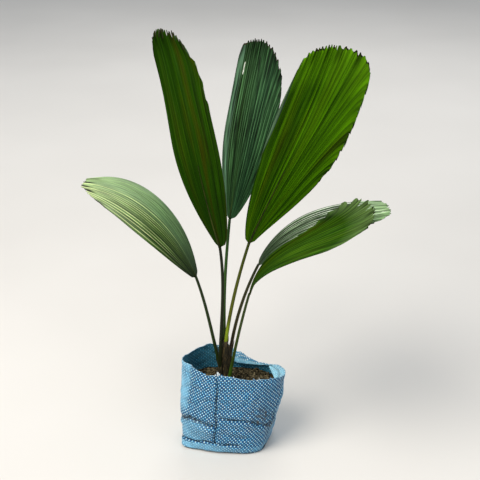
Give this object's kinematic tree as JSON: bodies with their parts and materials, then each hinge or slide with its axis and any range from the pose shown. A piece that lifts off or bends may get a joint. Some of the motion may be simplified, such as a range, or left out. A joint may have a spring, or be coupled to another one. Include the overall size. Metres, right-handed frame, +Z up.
{
  "type": "potted ruffled fan palm",
  "caption": "Young potted fan palm: long pleated undivided leaves on slim petioles round a short sheathed stem, in a soil-filled woven grow bag.",
  "frame": {"origin": "middle of the grow bag's flat underside, on the surface that it stands on", "axes": "+Z up, +X along the bag's long side towards its lower rim corner, +Y towards the back, away from the side that the picture shows"},
  "size_m": [0.4242, 0.2538, 0.6239],
  "materials": {
    "woven_tape": "blue and white woven polypropylene tape, soil stained",
    "soil": "dry crumbly potting soil",
    "stem": "brown fibrous leaf sheaths",
    "petiole": "smooth green leaf stalk",
    "leaf": "pleated leaf, waxy above and plain green below"
  },
  "bodies": {
    "root": {"grow_bag": "woven_tape", "soil": "soil", "stem": "stem", "petiole_left_low": "petiole", "petiole_left_tall": "petiole", "petiole_rear": "petiole", "petiole_right_tall": "petiole", "petiole_right_low_rear": "petiole", "petiole_right_low_front": "petiole", "blade_left_low": "leaf", "blade_left_tall": "leaf", "blade_rear": "leaf", "blade_right_tall": "leaf", "blade_right_low_rear": "leaf", "blade_right_low_front": "leaf"}
  },
  "joints": []
}
